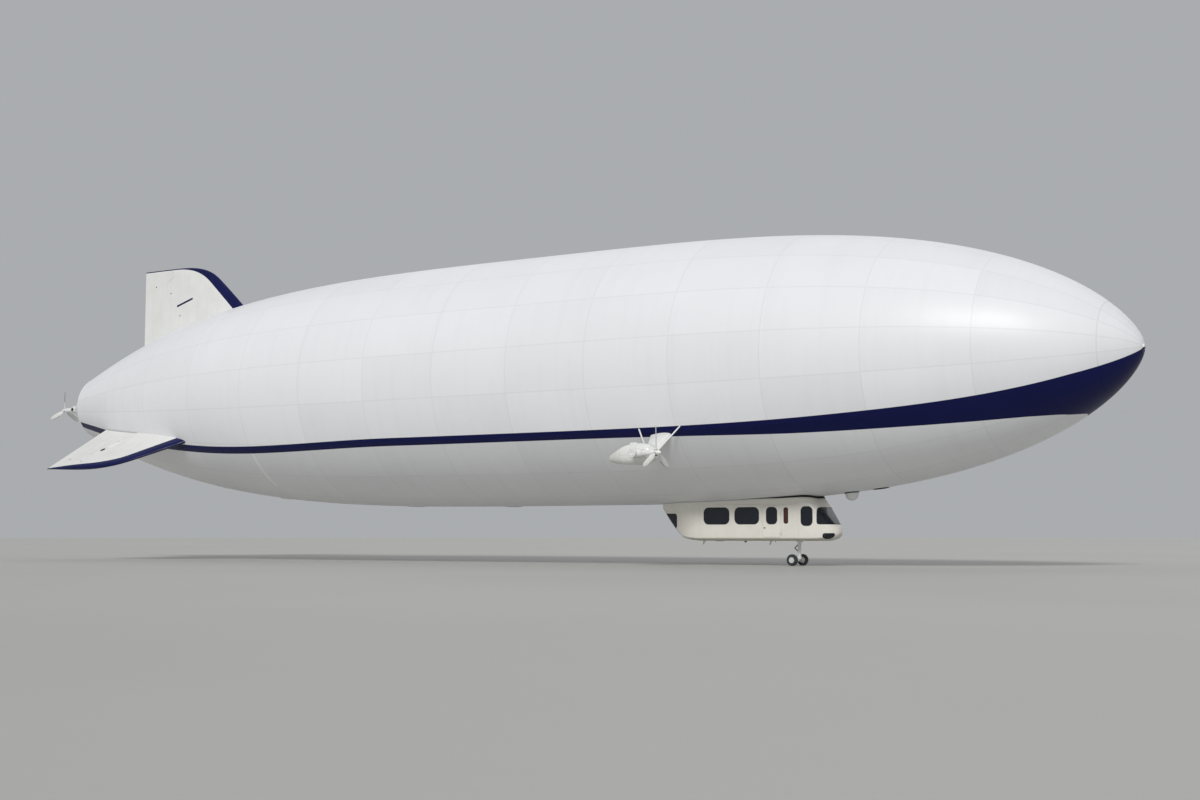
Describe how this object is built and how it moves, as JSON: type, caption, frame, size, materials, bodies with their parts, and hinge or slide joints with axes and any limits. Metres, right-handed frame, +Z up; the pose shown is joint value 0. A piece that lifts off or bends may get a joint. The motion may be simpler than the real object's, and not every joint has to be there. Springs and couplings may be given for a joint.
{
  "type": "airship, 1:2 scale model",
  "caption": "Semi-rigid airship with a long white hull, tail fins spaced evenly, tilting propellers, a gondola and a landing gear.",
  "frame": {"origin": "the lift centre on the hull's axis, 17 m aft of the bow's tip", "axes": "+Z up, -Y to the bow, +X to port"},
  "size_m": [9.594, 37.77, 9.7],
  "materials": {
    "hull_skin": "satin",
    "white_paint": "satin",
    "nose_paint": "satin",
    "cream_paint": "gloss",
    "tinted_glass": "gloss",
    "blade_paint": "satin",
    "dark_plastic": "matt",
    "seat_fabric": "matt",
    "engine_metal": "satin",
    "gear_metal": "gloss",
    "tyre": "matt"
  },
  "bodies": {
    "hull": {"envelope": "hull_skin", "nose_cone": "nose_paint", "tail_cone": "white_paint", "top_fin": "white_paint", "port_fin": "white_paint", "starboard_fin": "white_paint", "port_outrigger": "white_paint", "starboard_outrigger": "white_paint", "port_nacelle": "white_paint", "starboard_nacelle": "white_paint", "port_engine_block": "engine_metal", "starboard_engine_block": "engine_metal", "stern_engine_block": "engine_metal", "gondola_floor": "cream_paint", "gondola_roof": "cream_paint", "gondola_nose": "cream_paint", "gondola_rear": "cream_paint", "gondola_side_port": "cream_paint", "gondola_side_starboard": "cream_paint", "port_cabin_glass": "tinted_glass", "starboard_cabin_glass": "tinted_glass", "cockpit_glass": "tinted_glass", "rear_window": "tinted_glass", "port_seats": "seat_fabric", "starboard_seats": "seat_fabric", "pilot_seat_port": "seat_fabric", "pilot_seat_starboard": "seat_fabric", "control_panel": "dark_plastic", "gear_leg": "gear_metal"},
    "top_rudder": {"top_rudder": "white_paint"},
    "port_rudder": {"port_rudder": "white_paint"},
    "starboard_rudder": {"starboard_rudder": "white_paint"},
    "port_tilt_unit": {"port_tilt_unit": "white_paint"},
    "port_propeller": {"port_propeller": "blade_paint"},
    "starboard_tilt_unit": {"starboard_tilt_unit": "white_paint"},
    "starboard_propeller": {"starboard_propeller": "blade_paint"},
    "stern_tilt_unit": {"stern_tilt_unit": "white_paint"},
    "stern_propeller": {"stern_propeller": "blade_paint"},
    "side_thruster_propeller": {"side_thruster_propeller": "blade_paint"},
    "port_door": {"port_door": "cream_paint", "port_door_glass": "tinted_glass"},
    "starboard_door": {"starboard_door": "cream_paint", "starboard_door_glass": "tinted_glass"},
    "gear_caster": {"gear_caster": "gear_metal"},
    "twin_wheels": {"twin_wheels": "tyre"}
  },
  "joints": [
    {"name": "top_rudder_hinge", "type": "hinge", "parent": "hull", "child": "top_rudder", "pos_m": [0, 14.67, 2.695], "axis": [0, 0.5189, 0.8548], "range_deg": [-25, 25]},
    {"name": "port_rudder_hinge", "type": "hinge", "parent": "hull", "child": "port_rudder", "pos_m": [2.33394, 14.67, -1.3475], "axis": [0.7403, 0.5189, -0.4274], "range_deg": [-25, 25]},
    {"name": "starboard_rudder_hinge", "type": "hinge", "parent": "hull", "child": "starboard_rudder", "pos_m": [-2.33394, 14.67, -1.3475], "axis": [-0.7403, 0.5189, -0.4274], "range_deg": [-25, 25]},
    {"name": "port_engine_tilt", "type": "hinge", "parent": "hull", "child": "port_tilt_unit", "pos_m": [4.2, -5.7, -2.35], "axis": [-1, 0, 0], "range_deg": [0, 120]},
    {"name": "port_propeller_spin", "type": "hinge", "parent": "port_tilt_unit", "child": "port_propeller", "pos_m": [4.2, -6.3, -2.35], "axis": [0, 1, 0], "continuous": true},
    {"name": "starboard_engine_tilt", "type": "hinge", "parent": "hull", "child": "starboard_tilt_unit", "pos_m": [-4.2, -5.7, -2.35], "axis": [-1, 0, 0], "range_deg": [0, 120]},
    {"name": "starboard_propeller_spin", "type": "hinge", "parent": "starboard_tilt_unit", "child": "starboard_propeller", "pos_m": [-4.2, -6.3, -2.35], "axis": [0, 1, 0], "continuous": true},
    {"name": "stern_engine_tilt", "type": "hinge", "parent": "hull", "child": "stern_tilt_unit", "pos_m": [0, 20, 0], "axis": [-1, 0, 0], "range_deg": [0, 90]},
    {"name": "stern_propeller_spin", "type": "hinge", "parent": "stern_tilt_unit", "child": "stern_propeller", "pos_m": [0, 20.62, 0], "axis": [0, 1, 0], "continuous": true},
    {"name": "side_thruster_spin", "type": "hinge", "parent": "hull", "child": "side_thruster_propeller", "pos_m": [0.66, 19.8, 0], "axis": [1, 0, 0], "continuous": true},
    {"name": "port_door_hinge", "type": "hinge", "parent": "hull", "child": "port_door", "pos_m": [0.576, -7.82, -4], "axis": [0, 0, -1], "range_deg": [0, 95]},
    {"name": "starboard_door_hinge", "type": "hinge", "parent": "hull", "child": "starboard_door", "pos_m": [-0.576, -7.82, -4], "axis": [0, 0, 1], "range_deg": [0, 95]},
    {"name": "gear_swivel", "type": "hinge", "parent": "hull", "child": "gear_caster", "pos_m": [0, -8.06, -4.88], "axis": [0, 0, 1], "continuous": true},
    {"name": "wheel_spin", "type": "hinge", "parent": "gear_caster", "child": "twin_wheels", "pos_m": [0, -8, -5], "axis": [1, 0, 0], "continuous": true}
  ]
}
